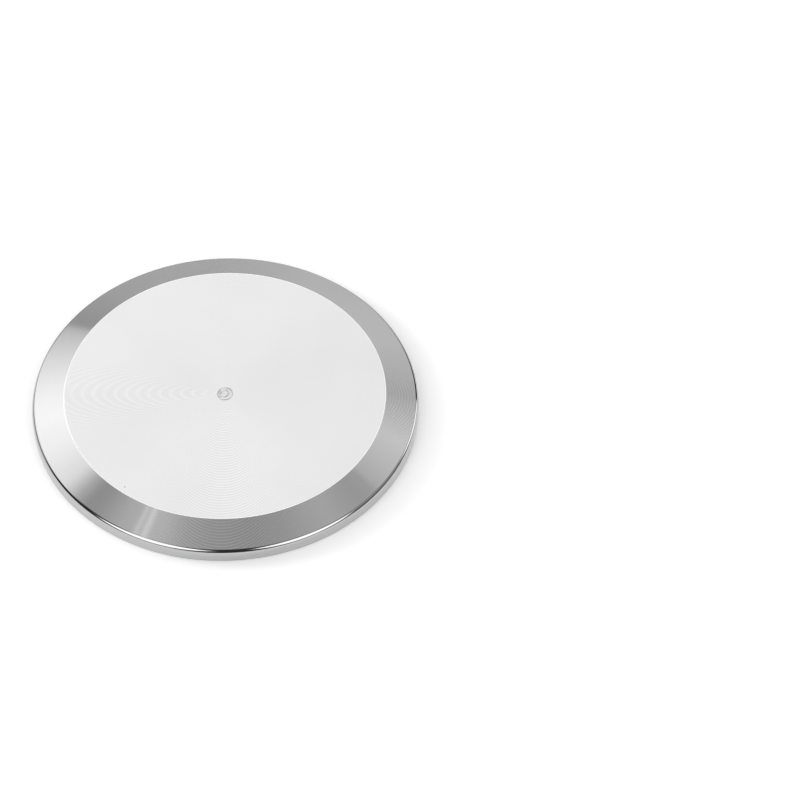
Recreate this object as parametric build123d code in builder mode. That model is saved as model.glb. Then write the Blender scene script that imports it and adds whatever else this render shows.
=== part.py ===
from build123d import *

import os
from math import radians, tan

# Solid end cap for a 77.5 mm (2.5 inch) sanitary clamp flange, turned in one piece from
# stainless bar. It lies on its sealing face, which is at Z = 0, with its axis on +Z and the
# clamp taper upwards. Lengths are in millimetres, angles in degrees.

# The flange, as the clamp grips it.
flange_diameter = 77.5
edge_thickness = 2.85  # height of the corner where the taper meets the rim
taper_angle = 20.0  # slope of the clamp taper, from the plane of the faces
taper_width = 6.55  # from the rim in to the flat back face

# The groove that centres the gasket: a round bottom, and flanks that open towards the face.
groove_inset = 3.5  # from the rim in to the middle of the groove
groove_width = 3.4  # at the sealing face
groove_depth = 1.5
groove_bottom_radius = 1.3

# The edges, rounded or lightly broken so that they cut neither the hand nor the gasket.
clamp_edge_round = 1.0
sealing_edge_round = 0.4
groove_lip_break = 0.1
back_edge_break = 0.1

# The mark that facing leaves at the turning centre of the back face: fine rings round a pip.
mark_ring_diameters = (3.2, 1.8)
mark_ring_width = 0.36
mark_ring_depth = 0.04

# Sizes that follow from those above.
flange_radius = flange_diameter / 2
back_face_radius = flange_radius - taper_width
cap_thickness = edge_thickness + taper_width * tan(radians(taper_angle))
groove_mean_radius = flange_radius - groove_inset


def arc_radius(chord, rise):
    """Radius of the arc that rises this far above the middle of this chord."""
    return ((chord / 2) ** 2 + rise**2) / (2 * rise)


mark_arc_radius = arc_radius(mark_ring_width, mark_ring_depth)

# The form that cuts the groove: the hull of the mouth and the bottom's round, so that both
# flanks are tangent to the round.
with BuildSketch() as groove:
    with BuildLine():
        Line((-groove_width / 2, 0), (groove_width / 2, 0))
        CenterArc((0, groove_depth - groove_bottom_radius), groove_bottom_radius, 0, 360)
    make_hull()

with BuildPart() as end_cap:
    # Half of the flange's section. In this sketch X is the radius and Y the height.
    with BuildSketch(Plane.XZ) as section:
        with BuildLine():
            Polyline(
                (0, 0),
                (flange_radius, 0),
                (flange_radius, edge_thickness),
                (back_face_radius, cap_thickness),
                (0, cap_thickness),
                close=True,
            )
        make_face()

        # The rim's corner at the sealing face, the one at the taper, and the back face's.
        fillet(section.vertices().group_by(Axis.X)[-1].sort_by(Axis.Y)[0], sealing_edge_round)
        fillet(section.vertices().group_by(Axis.X)[-1].sort_by(Axis.Y)[-1], clamp_edge_round)
        chamfer(section.vertices().group_by(Axis.Y)[-1].sort_by(Axis.X)[-1], back_edge_break)

        # The gasket groove, plunged into the sealing face. Its two lips are the sealing face's
        # middle vertices, between the axis and the rim's round.
        with Locations((groove_mean_radius, 0)):
            add(groove.sketch, mode=Mode.SUBTRACT)
        chamfer(section.vertices().group_by(Axis.Y)[0].sort_by(Axis.X)[1:3], groove_lip_break)

        # The mark at the turning centre of the back face.
        mark_arc_height = cap_thickness - mark_ring_depth + mark_arc_radius
        with Locations([(diameter / 2, mark_arc_height) for diameter in mark_ring_diameters]):
            Circle(mark_arc_radius, mode=Mode.SUBTRACT)

    # Turned about the axis, as on the lathe.
    revolve(axis=Axis.Z)

end_cap.part.label = "end_cap"

os.makedirs("parts", exist_ok=True)
export_step(end_cap.part, "parts/end_cap.step")

print(f"thickness {cap_thickness:.3f} mm, volume {end_cap.part.volume:.1f} mm3")
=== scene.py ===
import math

import bpy
import numpy as np
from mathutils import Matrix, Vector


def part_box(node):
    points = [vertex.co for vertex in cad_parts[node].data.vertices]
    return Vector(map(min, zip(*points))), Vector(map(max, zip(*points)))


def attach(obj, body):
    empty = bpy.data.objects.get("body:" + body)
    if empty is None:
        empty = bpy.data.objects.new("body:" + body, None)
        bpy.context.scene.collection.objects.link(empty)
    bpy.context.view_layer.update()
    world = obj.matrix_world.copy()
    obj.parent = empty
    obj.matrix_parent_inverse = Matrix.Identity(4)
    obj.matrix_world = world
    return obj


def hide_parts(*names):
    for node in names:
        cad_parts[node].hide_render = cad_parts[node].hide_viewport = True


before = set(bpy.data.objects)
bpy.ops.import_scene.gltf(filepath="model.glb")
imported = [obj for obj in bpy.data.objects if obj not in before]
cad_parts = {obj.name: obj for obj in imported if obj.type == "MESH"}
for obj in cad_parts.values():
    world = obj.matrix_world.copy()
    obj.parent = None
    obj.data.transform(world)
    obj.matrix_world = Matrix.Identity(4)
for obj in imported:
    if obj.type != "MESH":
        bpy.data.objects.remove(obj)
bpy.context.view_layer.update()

# ---------------------------------------------------------------------------------------------
# The cap: a blank flange of stainless steel, faced, tapered and grooved on a lathe in one piece.
# Its section is the same all round, so it is one profile carried about the axis. Only the mark
# at the turning centre of the back face runs a little out of true.

MM = 0.001
taper_angle = math.radians(20.0)
edge_thickness = 2.85 * MM
taper_width = 6.55 * MM
clamp_edge_round = 1.0 * MM
sealing_edge_round = 0.4 * MM
back_edge_break = 0.1 * MM
groove_inset = 3.5 * MM
groove_width = 3.4 * MM
groove_depth = 1.5 * MM
groove_bottom_radius = 1.3 * MM
groove_lip_break = 0.1 * MM

_, high_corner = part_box("end_cap")
flange_radius = high_corner.x
cap_thickness = high_corner.z
back_face_radius = flange_radius - taper_width
groove_radius = flange_radius - groove_inset

FACED, TAPERED, EDGE, RIM, SHADED_LOW_EDGE, GROOVED = range(6)


def line(start, end, rows=2):
    """Profile points spaced evenly from start to end, with the normal to the left of the way.

    A point is (radius, height). The profile runs outwards over the back face, down the rim and
    inwards under the sealing face, so its left-hand side is the outside of the metal.
    """
    start, end = np.array(start), np.array(end)
    share = np.linspace(0.0, 1.0, rows)[:, None]
    way = (end - start) / np.hypot(*(end - start))
    return start + (end - start) * share, np.tile((-way[1], way[0]), (rows, 1))


def arc(centre, radius, first, last, rows, hollow=False):
    """Profile points centre + radius * (cos a, sin a), for the angle a from first to last.

    The normal points away from the centre, or towards it where the arc is hollow.
    """
    angle = np.linspace(first, last, rows)
    spoke = np.stack([np.cos(angle), np.sin(angle)], axis=1)
    return np.array(centre) + radius * spoke, -spoke if hollow else spoke


def rounded_corner(corner, before, after, radius, rows):
    """The arc of that radius, tangent to both sides of a convex corner.

    before and after are the directions of the sides' outward normals, as angles. The arc's
    centre lies radius / cos(half the turn) from the corner, against the middle normal.
    """
    middle = (before + after) / 2
    inward = radius / math.cos((after - before) / 2)
    centre = np.array(corner) - inward * np.array([math.cos(middle), math.sin(middle)])
    return arc(centre, radius, before, after, rows)


quarter = math.pi / 2
taper_normal = quarter - taper_angle
back_edge_radius = back_edge_break / math.tan(taper_angle / 2)
back_corner = (back_face_radius, cap_thickness)
back_edge = rounded_corner(back_corner, quarter, taper_normal, back_edge_radius, 9)
clamp_corner = (flange_radius, edge_thickness)
clamp_edge = rounded_corner(clamp_corner, taper_normal, 0.0, clamp_edge_round, 19)
sealing_edge = rounded_corner((flange_radius, 0.0), 0.0, -quarter, sealing_edge_round, 13)

# The groove's flanks rise from the lips at this angle, tangent to the round of its bottom.
bottom_centre = (groove_radius, groove_depth - groove_bottom_radius)
lip_distance = math.hypot(groove_width / 2, bottom_centre[1])
lip_view = math.atan2(bottom_centre[1], groove_width / 2)
flank_slope = lip_view + math.asin(groove_bottom_radius / lip_distance)
lip_radius = groove_lip_break / math.tan(flank_slope / 2)
outer_corner = (groove_radius + groove_width / 2, 0.0)
inner_corner = (groove_radius - groove_width / 2, 0.0)
outer_lip = rounded_corner(outer_corner, -quarter, -quarter - flank_slope, lip_radius, 7)
bottom_ends = (quarter - flank_slope, quarter + flank_slope)
groove_bottom = arc(bottom_centre, groove_bottom_radius, *bottom_ends, 21, hollow=True)
inner_lip = rounded_corner(inner_corner, flank_slope - quarter, -quarter, lip_radius, 7)

mark_reach = 2.6 * MM
mark_rows = 53
pole_gap = 0.05 * MM
stretches = [
    (FACED, line((pole_gap, cap_thickness), (mark_reach, cap_thickness), mark_rows)),
    (FACED, line((mark_reach, cap_thickness), back_edge[0][0], 12)),
    (EDGE, back_edge),
    (TAPERED, line(back_edge[0][-1], clamp_edge[0][0], 5)),
    (RIM, clamp_edge),
    (RIM, line(clamp_edge[0][-1], sealing_edge[0][0], 3)),
    (SHADED_LOW_EDGE, sealing_edge),
    (FACED, line(sealing_edge[0][-1], outer_lip[0][0])),
    (EDGE, outer_lip),
    (GROOVED, line(outer_lip[0][-1], groove_bottom[0][0])),
    (GROOVED, groove_bottom),
    (GROOVED, line(groove_bottom[0][-1], inner_lip[0][0])),
    (EDGE, inner_lip),
    (FACED, line(inner_lip[0][-1], (pole_gap, 0.0), 12)),
]

# Every stretch starts where the one before it ends, so its first point is dropped.
profile = np.concatenate([s[0][:1] for _, s in stretches[:1]] + [s[0][1:] for _, s in stretches])
profile_normal = [s[1][:1] for _, s in stretches[:1]] + [s[1][1:] for _, s in stretches]
profile_normal = np.concatenate(profile_normal)
band_finish = np.concatenate([np.full(len(s[0]) - 1, finish) for finish, s in stretches])
profile_length = np.concatenate([[0.0], np.cumsum(np.hypot(*np.diff(profile, axis=0).T))])


def centre_mark(x, y):
    """Height of the mark at the turning centre, at the points (x, y) of the back face.

    It is four rings, each deepest where the distance from its own centre is its radius, with a
    depth that falls off from there as a bell curve. The radius swells and shrinks twice round,
    and the depth three times, because the tool's last turns ran out of true.
    """
    height = np.zeros_like(x)
    for off_x, off_y, radius, swell, long_way, width, depth in (
        (0.03, -0.20, 1.46, 0.06, 1.4, 0.13, 0.034),
        (-0.10, -0.22, 1.22, 0.05, 0.3, 0.12, 0.016),
        (-0.12, -0.14, 0.86, 0.14, 1.0, 0.13, 0.034),
        (0.00, -0.10, 0.34, 0.25, 0.9, 0.13, 0.018),
    ):
        off_centre_x = x / MM - off_x
        off_centre_y = y / MM - off_y
        way_round = np.arctan2(off_centre_y, off_centre_x)
        ring = radius * (1 + swell * np.cos(2 * (way_round - long_way)))
        from_ring = (np.hypot(off_centre_x, off_centre_y) - ring) / width
        uneven = 1 + 0.18 * np.cos(3 * (way_round + long_way))
        height -= depth * MM * uneven * np.exp(-(from_ring**2))
    return height


def lathe_mesh(name, steps_round):
    """The profile turned about the axis: points (r cos t, r sin t, z) for every row and turn t.

    The rows of the centre mark get its height, and normals from the slope of that height. Each
    end of the profile closes in a fan on one point of the axis. The UV map runs round the cap
    along U and down the profile along V.
    """
    turn = np.linspace(0.0, 2 * math.pi, steps_round, endpoint=False)
    rows = len(profile)
    x = profile[:, :1] * np.cos(turn)
    y = profile[:, :1] * np.sin(turn)
    z = np.repeat(profile[:, 1:], steps_round, axis=1)
    normal_x = profile_normal[:, :1] * np.cos(turn)
    normal_y = profile_normal[:, :1] * np.sin(turn)
    normal_z = np.repeat(profile_normal[:, 1:], steps_round, axis=1)

    mark = slice(0, mark_rows)
    nudge = 0.01 * MM
    z[mark] += centre_mark(x[mark], y[mark])
    fall_x = centre_mark(x[mark] - nudge, y[mark]) - centre_mark(x[mark] + nudge, y[mark])
    fall_y = centre_mark(x[mark], y[mark] - nudge) - centre_mark(x[mark], y[mark] + nudge)
    normal_x[mark] = fall_x / (2 * nudge)
    normal_y[mark] = fall_y / (2 * nudge)

    poles = np.array([(0.0, 0.0, z[0].mean()), (0.0, 0.0, 0.0)])
    points = np.concatenate([np.stack([x, y, z], axis=2).reshape(-1, 3), poles])
    normals = np.stack([normal_x, normal_y, normal_z], axis=2).reshape(-1, 3)
    normals = np.concatenate([normals, [(0.0, 0.0, 1.0), (0.0, 0.0, -1.0)]])
    normals /= np.linalg.norm(normals, axis=1)[:, None]

    row, step = np.meshgrid(np.arange(rows - 1), np.arange(steps_round), indexing="ij")
    here = row * steps_round
    after = (step + 1) % steps_round
    corners = [here + step, here + steps_round + step, here + steps_round + after, here + after]
    quads = np.stack(corners, axis=2).reshape(-1, 4)
    first = np.arange(steps_round)
    following = (first + 1) % steps_round
    last_row = (rows - 1) * steps_round
    top_pole = rows * steps_round
    top_fan = np.stack([np.full(steps_round, top_pole), first, following], axis=1)
    low_pole = top_pole + 1
    low_centre = np.full(steps_round, low_pole)
    low_fan = np.stack([last_row + first, low_centre, last_row + following], axis=1)

    loop_vertex = np.concatenate([quads.ravel(), top_fan.ravel(), low_fan.ravel()])
    sides = np.concatenate([np.full(len(quads), 4), np.full(2 * steps_round, 3)])
    starts = np.concatenate([[0], np.cumsum(sides)[:-1]])

    mesh = bpy.data.meshes.new(name)
    mesh.vertices.add(len(points))
    mesh.vertices.foreach_set("co", points.ravel())
    mesh.loops.add(len(loop_vertex))
    mesh.loops.foreach_set("vertex_index", loop_vertex.astype(np.int32))
    mesh.polygons.add(len(sides))
    mesh.polygons.foreach_set("loop_start", starts.astype(np.int32))
    finish = np.concatenate([np.repeat(band_finish, steps_round), np.full(2 * steps_round, FACED)])
    mesh.polygons.foreach_set("material_index", finish.astype(np.int32))

    # U in steps, so that the last faces before the seam end at 1 and not back at 0.
    down = profile_length / profile_length[-1]
    quad_u = np.stack([step, step, step + 1, step + 1], axis=2) / steps_round
    quad_v = np.stack([down[row], down[row + 1], down[row + 1], down[row]], axis=2)
    fan_u = np.stack([first + 0.5, first, first + 1], axis=1) / steps_round
    low_u = np.stack([first, first + 0.5, first + 1], axis=1) / steps_round
    u = np.concatenate([quad_u.ravel(), fan_u.ravel(), low_u.ravel()])
    v = np.concatenate([quad_v.ravel(), np.zeros(3 * steps_round), np.ones(3 * steps_round)])
    mesh.uv_layers.new(name="lathe").data.foreach_set("uv", np.stack([u, v], axis=1).ravel())

    mesh.update(calc_edges=True)
    mesh.validate()
    mesh.shade_smooth()
    mesh.normals_split_custom_set_from_vertices(normals)
    return mesh


steps_round = 512
turned_cap = bpy.data.objects.new("turned_cap", lathe_mesh("turned_cap", steps_round))
bpy.context.scene.collection.objects.link(turned_cap)


def socket(group, name, kind, in_out="INPUT"):
    """Adds a named socket to a shader node group."""
    group.interface.new_socket(name, in_out=in_out, socket_type=kind)


def math_node(tree, operation, *values):
    """A Math node whose inputs are links or plain numbers, and its output."""
    node = tree.nodes.new("ShaderNodeMath")
    node.operation = operation
    for position, value in enumerate(values):
        if isinstance(value, (int, float)):
            node.inputs[position].default_value = value
        else:
            tree.links.new(value, node.inputs[position])
    return node.outputs[0]


def smooth_step(tree, value, first, last):
    """0 before first, 1 after last, with an S-shaped rise between them."""
    node = tree.nodes.new("ShaderNodeMapRange")
    node.interpolation_type = "SMOOTHSTEP"
    tree.links.new(value, node.inputs["Value"])
    for socket_name, limit in (("From Min", first), ("From Max", last)):
        if isinstance(limit, (int, float)):
            node.inputs[socket_name].default_value = limit
        else:
            tree.links.new(limit, node.inputs[socket_name])
    return node.outputs["Result"]


def object_place(tree):
    """The place on the piece, and its parts along X and Y."""
    place = tree.nodes.new("ShaderNodeTexCoord").outputs["Object"]
    part = tree.nodes.new("ShaderNodeSeparateXYZ")
    tree.links.new(place, part.inputs["Vector"])
    return place, part.outputs["X"], part.outputs["Y"]


def turned_surface_group():
    """The lathe's marks and the polish, as values about 0, and the normal of the marks.

    Rings are uneven lines down the profile, Ring Count of them from end to end. Haze is a slow
    drift of the polish over the piece. Specks are a few pits, 1 inside and 0 outside.
    """
    group = bpy.data.node_groups.new("turned surface", "ShaderNodeTree")
    for name in ("Ring Count", "Ring Depth"):
        socket(group, name, "NodeSocketFloat")
    for name in ("Rings", "Haze", "Specks"):
        socket(group, name, "NodeSocketFloat", "OUTPUT")
    socket(group, "Normal", "NodeSocketVector", "OUTPUT")
    given = group.nodes.new("NodeGroupInput").outputs
    made = group.nodes.new("NodeGroupOutput").inputs
    lathe_map = group.nodes.new("ShaderNodeUVMap")
    lathe_map.uv_map = "lathe"
    down = group.nodes.new("ShaderNodeSeparateXYZ")
    group.links.new(lathe_map.outputs["UV"], down.inputs["Vector"])

    lines = group.nodes.new("ShaderNodeTexNoise")
    lines.noise_dimensions = "1D"
    lines.inputs["Scale"].default_value = 1.0
    lines.inputs["Detail"].default_value = 2.0
    ring = math_node(group, "MULTIPLY", down.outputs["Y"], given["Ring Count"])
    group.links.new(ring, lines.inputs["W"])
    rings = math_node(group, "SUBTRACT", lines.outputs[0], 0.5)
    group.links.new(rings, made["Rings"])
    bump = group.nodes.new("ShaderNodeBump")
    group.links.new(rings, bump.inputs["Height"])
    group.links.new(given["Ring Depth"], bump.inputs["Distance"])
    group.links.new(bump.outputs["Normal"], made["Normal"])

    patches_per_metre = 35.0
    clouds = group.nodes.new("ShaderNodeTexNoise")
    clouds.inputs["Scale"].default_value = patches_per_metre
    clouds.inputs["Detail"].default_value = 3.0
    place, _, _ = object_place(group)
    group.links.new(place, clouds.inputs["Vector"])
    group.links.new(math_node(group, "SUBTRACT", clouds.outputs[0], 0.5), made["Haze"])

    cells_per_metre = 260.0
    pitted_share = 0.04
    pit_size = 0.035
    cells = group.nodes.new("ShaderNodeTexVoronoi")
    cells.inputs["Scale"].default_value = cells_per_metre
    group.links.new(place, cells.inputs["Vector"])
    chance = group.nodes.new("ShaderNodeSeparateXYZ")
    group.links.new(cells.outputs["Color"], chance.inputs["Vector"])
    pitted = math_node(group, "LESS_THAN", chance.outputs["X"], pitted_share)
    near = smooth_step(group, cells.outputs["Distance"], 2 * pit_size, pit_size)
    group.links.new(math_node(group, "MULTIPLY", pitted, near), made["Specks"])
    return group


def ring_sheen_group():
    """The fine rings as nested arcs that open away from Facing: the turning's pattern, laid in a
    fan as painted sheen where the steel's reflection brings the rings out.

    It is cos p + second_share cos 2p, where p = 2 pi (r / Ring Pitch - u / Row Pitch), r is the
    distance from the axis and u the part of it along Facing. It fades out at the angle Spread
    from Facing.
    """
    second_share = 0.4
    full_share_of_spread = 0.3
    group = bpy.data.node_groups.new("rings and painted sheen", "ShaderNodeTree")
    for name in ("Ring Pitch", "Row Pitch", "Facing", "Spread"):
        socket(group, name, "NodeSocketFloat")
    socket(group, "Figure", "NodeSocketFloat", "OUTPUT")
    given = group.nodes.new("NodeGroupInput").outputs
    _, x, y = object_place(group)
    along_x = math_node(group, "MULTIPLY", x, math_node(group, "COSINE", given["Facing"]))
    along_y = math_node(group, "MULTIPLY", y, math_node(group, "SINE", given["Facing"]))
    along = math_node(group, "ADD", along_x, along_y)
    squares = [math_node(group, "MULTIPLY", part, part) for part in (x, y)]
    radius = math_node(group, "SQRT", math_node(group, "ADD", *squares))
    rings = math_node(group, "DIVIDE", radius, given["Ring Pitch"])
    rows = math_node(group, "DIVIDE", along, given["Row Pitch"])
    phase = math_node(group, "MULTIPLY", math_node(group, "SUBTRACT", rings, rows), 2 * math.pi)
    second = math_node(group, "COSINE", math_node(group, "MULTIPLY", phase, 2.0))
    second = math_node(group, "MULTIPLY", second, second_share)
    wave = math_node(group, "ADD", math_node(group, "COSINE", phase), second)
    facing = math_node(group, "DIVIDE", along, radius)
    spread_end = math_node(group, "COSINE", given["Spread"])
    full_spread = math_node(group, "MULTIPLY", given["Spread"], full_share_of_spread)
    spread_start = math_node(group, "COSINE", full_spread)
    fan = smooth_step(group, facing, spread_end, spread_start)
    figure = math_node(group, "MULTIPLY", wave, fan)
    group.links.new(figure, group.nodes.new("NodeGroupOutput").inputs["Figure"])
    return group


turned_surface = turned_surface_group()
ring_sheen = ring_sheen_group()


def turned_finish(name, grey, roughness, anisotropy, ring_pitch, ring_depth, figures=(), pits=0.0):
    """Bright stainless, grooved round the axis by the tool, so that its gloss spreads across.

    The rings, the haze and the figures each make the steel a little lighter or darker, and the
    pits darker by the share pits. The figures are partly painted sheen. A figure is (facing,
    spread, ring pitch, row pitch, strength), with its angles in degrees.
    """
    ring_tint = 0.05
    haze_tint = 0.15
    ring_roughness = 0.04
    blue_share = 1.003
    across_the_grooves = 0.25

    material = bpy.data.materials.new(name)
    material.use_nodes = True
    tree = material.node_tree
    shader = tree.nodes["Principled BSDF"]
    shader.inputs["Metallic"].default_value = 1.0
    shader.inputs["Anisotropic"].default_value = anisotropy
    shader.inputs["Anisotropic Rotation"].default_value = across_the_grooves
    tangent = tree.nodes.new("ShaderNodeTangent")
    tangent.direction_type = "UV_MAP"
    tangent.uv_map = "lathe"
    tree.links.new(tangent.outputs["Tangent"], shader.inputs["Tangent"])

    surface = tree.nodes.new("ShaderNodeGroup")
    surface.node_tree = turned_surface
    surface.inputs["Ring Count"].default_value = profile_length[-1] / ring_pitch
    surface.inputs["Ring Depth"].default_value = ring_depth
    tree.links.new(surface.outputs["Normal"], shader.inputs["Normal"])
    uneven = math_node(tree, "MULTIPLY", surface.outputs["Rings"], ring_roughness)
    tree.links.new(math_node(tree, "ADD", uneven, roughness), shader.inputs["Roughness"])

    tints = [(surface.outputs["Rings"], ring_tint), (surface.outputs["Haze"], haze_tint)]
    tints.append((surface.outputs["Specks"], -pits))
    for facing, spread, figure_ring, figure_row, strength in figures:
        figure = tree.nodes.new("ShaderNodeGroup")
        figure.node_tree = ring_sheen
        figure.inputs["Ring Pitch"].default_value = figure_ring
        figure.inputs["Row Pitch"].default_value = figure_row
        figure.inputs["Facing"].default_value = math.radians(facing)
        figure.inputs["Spread"].default_value = math.radians(spread)
        tints.append((figure.outputs["Figure"], strength))
    lightness = 1.0
    for value, strength in tints:
        lightness = math_node(tree, "MULTIPLY_ADD", value, strength, lightness)
    colour = tree.nodes.new("ShaderNodeVectorMath")
    colour.operation = "SCALE"
    colour.inputs[0].default_value = (grey, grey, grey * blue_share)
    tree.links.new(lightness, colour.inputs["Scale"])
    tree.links.new(colour.outputs["Vector"], shader.inputs["Base Color"])
    return material


# The figures are the turning rings, painted as a sheen in fans where the steel's reflection
# brings them out. On the back face they open from the left, the front and, faintly, the rear.
# On the taper they open from the front and the right.
face_figures = (
    (180, 38, 0.185 * MM, 0.202 * MM, 0.020),
    (270, 40, 0.185 * MM, 0.256 * MM, 0.042),
    (90, 24, 0.185 * MM, 0.256 * MM, 0.012),
)
taper_figures = (
    (270, 27, 0.150 * MM, 0.2015 * MM, 0.085),
    (0, 24, 0.150 * MM, 0.2010 * MM, 0.050),
)
# Each finish is its name, grey, roughness, anisotropy, ring pitch and ring depth, with its figures
# and pits. They stand in the order of FACED, TAPERED, EDGE, RIM, SHADED_LOW_EDGE and GROOVED.
finishes = (
    turned_finish("faced steel", 0.62, 0.12, 1.0, 0.40 * MM, 0.0002 * MM, face_figures, 0.3),
    turned_finish("tapered steel", 0.62, 0.12, 1.0, 0.30 * MM, 0.0002 * MM, taper_figures),
    # The edge steel is a lit copy of the steel, grey 0.95: a painted highlight on the back edge and
    # the groove's lips.
    turned_finish("edge steel with painted highlight", 0.95, 0.08, 0.0, 0.10 * MM, 0.0002 * MM),
    # The rim steel is a darker copy of the steel, grey 0.53: painted shade over the rim and its
    # clamp edge, for the shadowed floor that they mirror.
    turned_finish("rim steel with painted shade", 0.53, 0.08, 0.0, 0.25 * MM, 0.0004 * MM),
    # The lower edge is a much darker copy of the steel, grey 0.37: painted shade, the contact
    # shadow along the sealing edge's round.
    turned_finish("lower edge with painted shade", 0.37, 0.12, 0.0, 0.20 * MM, 0.0004 * MM),
    turned_finish("grooved steel", 0.60, 0.14, 1.0, 0.30 * MM, 0.0006 * MM),
)
for finish in finishes:
    turned_cap.data.materials.append(finish)

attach(turned_cap, "root")
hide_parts("end_cap")

# ---------------------------------------------------------------------------------------------
# The floor: a matt white sheet under the cap. It keeps the cap's shadow, and what the lamps
# leave short of white is added where it is seen directly or mirrored.

floor_reach = 3.0
floor_grey = 0.8
floor_lift = 0.325
floor_drop = 0.02 * MM
floor_mesh = bpy.data.meshes.new("floor")
corner_list = [(-1, -1), (1, -1), (1, 1), (-1, 1)]
floor_points = [(floor_reach * a, floor_reach * b, -floor_drop) for a, b in corner_list]
floor_mesh.from_pydata(floor_points, [], [(0, 1, 2, 3)])
floor = bpy.data.objects.new("floor", floor_mesh)
bpy.context.scene.collection.objects.link(floor)

floor_paint = bpy.data.materials.new("floor paint")
floor_paint.use_nodes = True
tree = floor_paint.node_tree
tree.nodes.remove(tree.nodes["Principled BSDF"])
matt = tree.nodes.new("ShaderNodeBsdfDiffuse")
matt.inputs["Color"].default_value = (floor_grey, floor_grey, floor_grey, 1.0)
lift = tree.nodes.new("ShaderNodeEmission")
path = tree.nodes.new("ShaderNodeLightPath")
seen = math_node(tree, "MAXIMUM", path.outputs["Is Camera Ray"], path.outputs["Is Glossy Ray"])
seen = math_node(tree, "MAXIMUM", seen, path.outputs["Is Transmission Ray"])
tree.links.new(math_node(tree, "MULTIPLY", seen, floor_lift), lift.inputs["Strength"])
both = tree.nodes.new("ShaderNodeAddShader")
tree.links.new(matt.outputs[0], both.inputs[0])
tree.links.new(lift.outputs[0], both.inputs[1])
tree.links.new(both.outputs[0], tree.nodes["Material Output"].inputs["Surface"])
floor_mesh.materials.append(floor_paint)

# ---------------------------------------------------------------------------------------------
# The studio: a large light box over the back of the table, which the back face mirrors, walls
# and panels of different greys round it, and soft boxes low at the front. A place in it is given
# by the facet that would mirror it to the camera: the facet's slope, and the bearing it faces,
# counted anticlockwise from +X as seen from above.

camera_height = math.radians(49.78)

world = bpy.data.worlds.new("studio")
bpy.context.scene.world = world
world.use_nodes = True
tree = world.node_tree
background = tree.nodes["Background"]
background.inputs["Color"].default_value = (1.0, 1.0, 1.0, 1.0)


def blend_values(tree, share, first, second):
    """first where share is 0, second where it is 1."""
    node = tree.nodes.new("ShaderNodeMix")
    node.data_type = "FLOAT"
    tree.links.new(share, node.inputs["Factor"])
    for position, value in ((2, first), (3, second)):
        if isinstance(value, (int, float)):
            node.inputs[position].default_value = value
        else:
            tree.links.new(value, node.inputs[position])
    return node.outputs[0]


def panel_group():
    """A light panel with soft edges round a middle, in degrees of bearing and of slope.

    Its outline is |b|^n + |s|^n = 1, where b and s are the distances from the middle over half
    the width and half the height. Squareness is n: 2 is an ellipse, 8 nearly a rectangle. Edge
    is the width of the soft edge over half the panel.
    """
    group = bpy.data.node_groups.new("panel", "ShaderNodeTree")
    for name in ("Bearing", "Slope", "Middle Bearing", "Middle Slope", "Half Width", "Half Height"):
        socket(group, name, "NodeSocketFloat")
    for name in ("Squareness", "Edge"):
        socket(group, name, "NodeSocketFloat")
    socket(group, "Mask", "NodeSocketFloat", "OUTPUT")
    given = group.nodes.new("NodeGroupInput").outputs
    powers = []
    for measure, half in (("Bearing", "Half Width"), ("Slope", "Half Height")):
        away = math_node(group, "SUBTRACT", given[measure], given["Middle " + measure])
        share = math_node(group, "ABSOLUTE", math_node(group, "DIVIDE", away, given[half]))
        powers.append(math_node(group, "POWER", share, given["Squareness"]))
    root = math_node(group, "DIVIDE", 1.0, given["Squareness"])
    reach = math_node(group, "POWER", math_node(group, "ADD", *powers), root)
    beyond = math_node(group, "DIVIDE", math_node(group, "SUBTRACT", 1.0, reach), given["Edge"])
    mask = smooth_step(group, beyond, -0.5, 0.5)
    group.links.new(mask, group.nodes.new("NodeGroupOutput").inputs["Mask"])
    return group


# The facet's normal lies midway between the direction to the place and that to the camera.
direction = tree.nodes.new("ShaderNodeTexCoord").outputs["Generated"]
normal = tree.nodes.new("ShaderNodeVectorMath")
normal.operation = "ADD"
tree.links.new(direction, normal.inputs[0])
normal.inputs[1].default_value = (0.0, -math.cos(camera_height), math.sin(camera_height))
part = tree.nodes.new("ShaderNodeSeparateXYZ")
tree.links.new(normal.outputs["Vector"], part.inputs["Vector"])
turn = math_node(tree, "ARCTAN2", part.outputs["Y"], part.outputs["X"])
turn_share = math_node(tree, "FRACT", math_node(tree, "DIVIDE", turn, 2 * math.pi))
bearing = math_node(tree, "MULTIPLY", turn_share, 360.0)
across = math_node(tree, "MULTIPLY", part.outputs["X"], part.outputs["X"])
along = math_node(tree, "MULTIPLY", part.outputs["Y"], part.outputs["Y"])
level = math_node(tree, "SQRT", math_node(tree, "ADD", across, along))
lean = math_node(tree, "ARCTAN2", level, part.outputs["Z"])
slope = math_node(tree, "MULTIPLY", lean, 180 / math.pi)

# The walls, which the taper mirrors: brightness by bearing.
right_wall = [(0, 0.62), (12, 0.72), (25, 0.79), (45, 0.76)]
back_wall = [(84, 0.60), (100, 0.56), (135, 0.54), (151, 0.45)]
rear_wing = [(153.3, 0.77), (157, 0.93), (170, 1.17), (181, 1.47)]
front_wing = [(188, 1.55), (200, 1.41), (212.5, 1.13)]
left_wall = [(218, 0.64), (222.5, 0.43), (227, 0.47), (235, 0.64), (248, 0.69)]
table = [(254, 0.56), (262, 0.485), (277, 0.43), (287, 0.45), (302.5, 0.585), (315, 0.49)]
right_panel = [(320.5, 0.52), (322.5, 0.66), (331, 0.77), (341, 0.86), (349, 0.75), (360, 0.62)]
wings = rear_wing + front_wing
wall_stops = right_wall + back_wall + wings + left_wall + table + right_panel
ramp = tree.nodes.new("ShaderNodeValToRGB")
ramp_top = 1.6
stops = ramp.color_ramp.elements
while len(stops) < len(wall_stops):
    stops.new(1.0)
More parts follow.
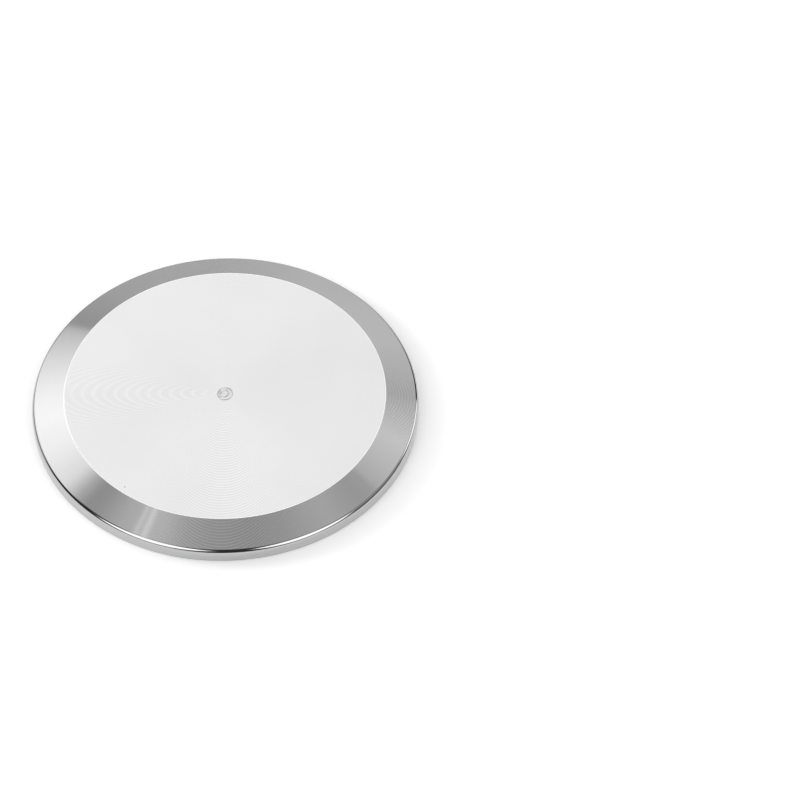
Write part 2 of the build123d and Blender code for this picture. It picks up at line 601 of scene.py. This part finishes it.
for stop, (degrees, brightness) in zip(stops, wall_stops):
    stop.position = degrees / 360
    stop.color = (*[brightness / ramp_top] * 3, 1.0)
tree.links.new(turn_share, ramp.inputs["Fac"])
walls = math_node(tree, "MULTIPLY", ramp.outputs["Color"], ramp_top)

# The light box is a little brighter on its left. From it outwards come a dark gap, the walls and
# the unlit room.
box_brightness = 1.30
box_drift = 2.7
box_most_drift = 0.25
gap_brightness = 0.15
room_brightness = 0.04
box_end = (9.5, 10.5)
gap_end = (13.0, 14.5)
walls_end = (25.0, 29.0)
drift = math_node(tree, "DIVIDE", part.outputs["X"], part.outputs["Z"])
drift = math_node(tree, "MULTIPLY", drift, box_drift)
drift = math_node(tree, "MINIMUM", drift, box_most_drift)
drift = math_node(tree, "MAXIMUM", drift, -box_most_drift)
light_box = math_node(tree, "SUBTRACT", box_brightness, drift)
studio = blend_values(tree, smooth_step(tree, slope, *box_end), light_box, gap_brightness)
studio = blend_values(tree, smooth_step(tree, slope, *gap_end), studio, walls)
studio = blend_values(tree, smooth_step(tree, slope, *walls_end), studio, room_brightness)

# The panels, laid over the walls in this order. Each is the middle and half width in bearing, the
# middle and half height in slope, the squareness, the soft edge and the brightness.
left_frame = ((200.0, 60.0), (9.0, 2.0), 8, 0.30, 0.80)
thin_strip_light = ((240.25, 0.55), (20, 8), 8, 0.9, 0.97)
wide_strip_light = ((243.0, 0.90), (20, 8), 8, 0.9, 1.00)
box_left_of_camera = ((247.5, 18.0), (44, 14), 1.5, 0.30, 2.00)
dim_floor = ((320.0, 17.0), (36, 11), 4, 0.30, 0.38)
box_right_of_camera = ((294.5, 16.0), (44, 13), 1.7, 0.30, 1.90)
low_right_panel = ((349.0, 13.0), (36, 8), 2, 0.40, 1.70)
dark_doorway = ((28.5, 31.0), (32, 7.5), 8, 0.15, 0.03)
left_floor = ((182.0, 22.0), (50, 14), 4, 0.40, 0.30)
wing_foot = ((190.0, 30.0), (30, 6), 2, 0.30, 1.45)

panel = panel_group()
for across_panel, up_panel, squareness, edge, brightness in (
    left_frame,
    thin_strip_light,
    wide_strip_light,
    box_left_of_camera,
    dim_floor,
    box_right_of_camera,
    low_right_panel,
    dark_doorway,
    left_floor,
    wing_foot,
):
    node = tree.nodes.new("ShaderNodeGroup")
    node.node_tree = panel
    tree.links.new(bearing, node.inputs["Bearing"])
    tree.links.new(slope, node.inputs["Slope"])
    node.inputs["Middle Bearing"].default_value = across_panel[0]
    node.inputs["Half Width"].default_value = across_panel[1]
    node.inputs["Middle Slope"].default_value = up_panel[0]
    node.inputs["Half Height"].default_value = up_panel[1]
    node.inputs["Squareness"].default_value = squareness
    node.inputs["Edge"].default_value = edge
    studio = blend_values(tree, node.outputs["Mask"], studio, brightness)

# Seen directly, the room is white.
path = tree.nodes.new("ShaderNodeLightPath")
studio = blend_values(tree, path.outputs["Is Camera Ray"], studio, 1.0)
tree.links.new(studio, background.inputs["Strength"])

# A soft lamp low at the left rear throws the cap's longer shadow. The metal doesn't mirror it.
lamp_bearing = math.radians(165)
lamp_height = math.radians(24)
lamp_distance = 1.0
lamp_data = bpy.data.lights.new("side lamp", "AREA")
lamp_data.size = 0.3
lamp_data.energy = 3.8
lamp = bpy.data.objects.new("side lamp", lamp_data)
lamp.location = (
    lamp_distance * math.cos(lamp_height) * math.cos(lamp_bearing),
    lamp_distance * math.cos(lamp_height) * math.sin(lamp_bearing),
    lamp_distance * math.sin(lamp_height),
)
lamp.rotation_euler = (math.pi / 2 - lamp_height, 0.0, lamp_bearing + math.pi / 2)
lamp.visible_glossy = False
bpy.context.scene.collection.objects.link(lamp)

# ---------------------------------------------------------------------------------------------
# The camera: a long lens, half-way up, with the cap left of the middle of its picture.

camera_distance = 0.9209
aim = (0.03499, 0.00263, 0.0)
camera_data = bpy.data.cameras.new("camera")
camera_data.sensor_width = 36.0
camera_data.lens = 205.9
camera = bpy.data.objects.new("camera", camera_data)
camera.location = (
    aim[0],
    aim[1] - camera_distance * math.cos(camera_height),
    aim[2] + camera_distance * math.sin(camera_height),
)
camera.rotation_euler = (math.pi / 2 - camera_height, 0.0, 0.0)
bpy.context.scene.collection.objects.link(camera)
bpy.context.scene.camera = camera
bpy.context.scene.view_settings.view_transform = "Standard"

bpy.context.view_layer.update()
